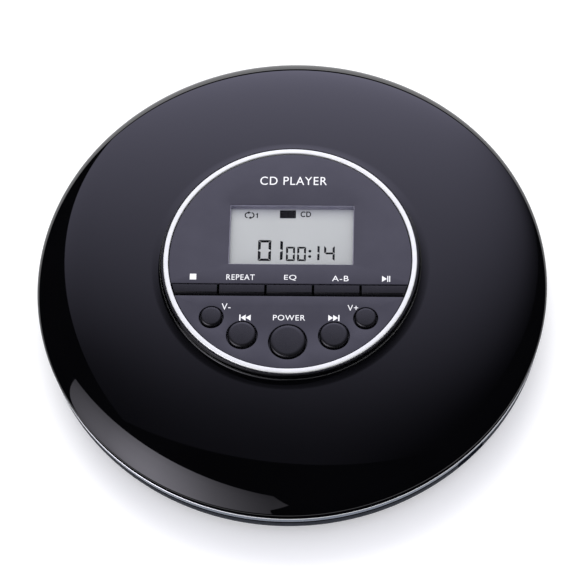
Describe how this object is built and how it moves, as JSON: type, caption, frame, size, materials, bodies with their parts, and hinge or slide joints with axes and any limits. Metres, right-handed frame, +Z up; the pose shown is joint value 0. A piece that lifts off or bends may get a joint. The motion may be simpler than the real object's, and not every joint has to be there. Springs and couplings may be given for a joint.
{
  "type": "portable cd player",
  "caption": "Round portable disc player with a hinged dome lid, a raised control pod with display, keys and buttons, and a disc mechanism inside.",
  "frame": {"origin": "on the surface the player stands on, under the middle of its round case", "axes": "+Z up, -Y towards the user (the control side), +X to the user's right"},
  "size_m": [0.14, 0.14, 0.0285],
  "materials": {
    "gloss_black": "high gloss",
    "dark_plastic": "satin",
    "key_plastic": "soft gloss",
    "silver_trim": "satin chrome",
    "band_grey": "metallic paint",
    "steel": "plain steel",
    "clear_plastic": "clear",
    "liquid_crystal": "satin display film",
    "white_plastic": "satin",
    "rubber": "matt",
    "circuit_green": "solder mask",
    "ribbon_orange": "polyimide film",
    "cell_wrap": "foil wrap"
  },
  "bodies": {
    "base": {"damper_1": "rubber", "damper_2": "rubber", "damper_3": "rubber", "foot_1": "rubber", "foot_2": "rubber", "foot_3": "rubber", "foot_4": "rubber", "main_board": "circuit_green", "lid_switch": "dark_plastic", "base_shell": "dark_plastic", "disc_deck": "dark_plastic", "headphone_socket": "dark_plastic", "sled_motor": "dark_plastic", "release_spring": "steel", "charging_socket": "steel", "mech_plate": "steel", "guide_rod_1": "steel", "guide_rod_2": "steel", "spindle_motor": "steel", "hinge_pin": "steel", "case_screw_1": "steel", "case_screw_2": "steel", "case_screw_3": "steel", "case_screw_4": "steel", "case_ribbon": "ribbon_orange", "trim_band": "band_grey", "battery": "cell_wrap"},
    "lid": {"lid_shell": "gloss_black", "trim_ring": "silver_trim", "upper_panel": "gloss_black", "lower_panel": "gloss_black", "display_window": "clear_plastic", "display_cell": "liquid_crystal", "display_holder": "white_plastic", "key_pad": "rubber", "key_board": "circuit_green", "pod_cover": "dark_plastic", "pod_screw_1": "steel", "pod_screw_2": "steel", "pod_screw_3": "steel", "lid_ribbon": "ribbon_orange", "lid_catch": "dark_plastic"},
    "key_stop": {"key_stop": "key_plastic"},
    "key_repeat": {"key_repeat": "key_plastic"},
    "key_eq": {"key_eq": "key_plastic"},
    "key_ab": {"key_ab": "key_plastic"},
    "key_play": {"key_play": "key_plastic"},
    "button_volume_down": {"button_volume_down": "key_plastic"},
    "button_previous": {"button_previous": "key_plastic"},
    "button_power": {"button_power": "key_plastic"},
    "button_next": {"button_next": "key_plastic"},
    "button_volume_up": {"button_volume_up": "key_plastic"},
    "spindle": {"spindle_hub": "dark_plastic"},
    "sled": {"sled": "dark_plastic", "rack": "white_plastic"},
    "objective": {"objective_lens": "clear_plastic"},
    "drive_gear": {"drive_gear": "white_plastic"},
    "pinion": {"motor_pinion": "white_plastic"},
    "release_button": {"release_button": "dark_plastic"},
    "hold_slider": {"hold_slider": "dark_plastic"}
  },
  "joints": [
    {"name": "lid_hinge", "type": "hinge", "parent": "base", "child": "lid", "pos_m": [0, 0.0683, 0.01435], "axis": [-1, 0, 0], "range_deg": [0, 70]},
    {"name": "key_stop_press", "type": "slide", "parent": "lid", "child": "key_stop", "axis": [0, 0, -1], "range_m": [0, 0.0005], "stiffness_N_per_m": 1600},
    {"name": "key_repeat_press", "type": "slide", "parent": "lid", "child": "key_repeat", "axis": [0, 0, -1], "range_m": [0, 0.0005], "stiffness_N_per_m": 1600},
    {"name": "key_eq_press", "type": "slide", "parent": "lid", "child": "key_eq", "axis": [0, 0, -1], "range_m": [0, 0.0005], "stiffness_N_per_m": 1600},
    {"name": "key_ab_press", "type": "slide", "parent": "lid", "child": "key_ab", "axis": [0, 0, -1], "range_m": [0, 0.0005], "stiffness_N_per_m": 1600},
    {"name": "key_play_press", "type": "slide", "parent": "lid", "child": "key_play", "axis": [0, 0, -1], "range_m": [0, 0.0005], "stiffness_N_per_m": 1600},
    {"name": "button_volume_down_press", "type": "slide", "parent": "lid", "child": "button_volume_down", "axis": [0, 0, -1], "range_m": [0, 0.0006], "stiffness_N_per_m": 1600},
    {"name": "button_previous_press", "type": "slide", "parent": "lid", "child": "button_previous", "axis": [0, 0, -1], "range_m": [0, 0.0006], "stiffness_N_per_m": 1600},
    {"name": "button_power_press", "type": "slide", "parent": "lid", "child": "button_power", "axis": [0, 0, -1], "range_m": [0, 0.0006], "stiffness_N_per_m": 1600},
    {"name": "button_next_press", "type": "slide", "parent": "lid", "child": "button_next", "axis": [0, 0, -1], "range_m": [0, 0.0006], "stiffness_N_per_m": 1600},
    {"name": "button_volume_up_press", "type": "slide", "parent": "lid", "child": "button_volume_up", "axis": [0, 0, -1], "range_m": [0, 0.0006], "stiffness_N_per_m": 1600},
    {"name": "spindle_spin", "type": "hinge", "parent": "base", "child": "spindle", "pos_m": [0, 0, 0.0156], "axis": [0, 0, 1], "continuous": true},
    {"name": "sled_slide", "type": "slide", "parent": "base", "child": "sled", "axis": [0, -1, 0], "range_m": [0, 0.033]},
    {"name": "objective_focus", "type": "slide", "parent": "sled", "child": "objective", "axis": [0, 0, 1], "range_m": [-0.0004, 0.0004], "stiffness_N_per_m": 60},
    {"name": "drive_gear_spin", "type": "hinge", "parent": "base", "child": "drive_gear", "pos_m": [0.0215, -0.026, 0.008], "axis": [0, 0, 1], "range_deg": [-2, 640]},
    {"name": "pinion_spin", "type": "hinge", "parent": "base", "child": "pinion", "pos_m": [0.02664, -0.01987, 0.009], "axis": [0, 0, 1], "range_deg": [-1920, 2]},
    {"name": "release_press", "type": "slide", "parent": "base", "child": "release_button", "axis": [-0.7071, 0.7071, 0], "range_m": [0, 0.0012], "stiffness_N_per_m": 900},
    {"name": "hold_slide", "type": "slide", "parent": "base", "child": "hold_slider", "axis": [-0.5299, 0.848, 0], "range_m": [0, 0.003]}
  ],
  "couplings": [
    {"joint": "drive_gear_spin", "follows": "sled_slide", "rad_per_m": 333.33},
    {"joint": "pinion_spin", "follows": "sled_slide", "rad_per_m": -1000}
  ]
}
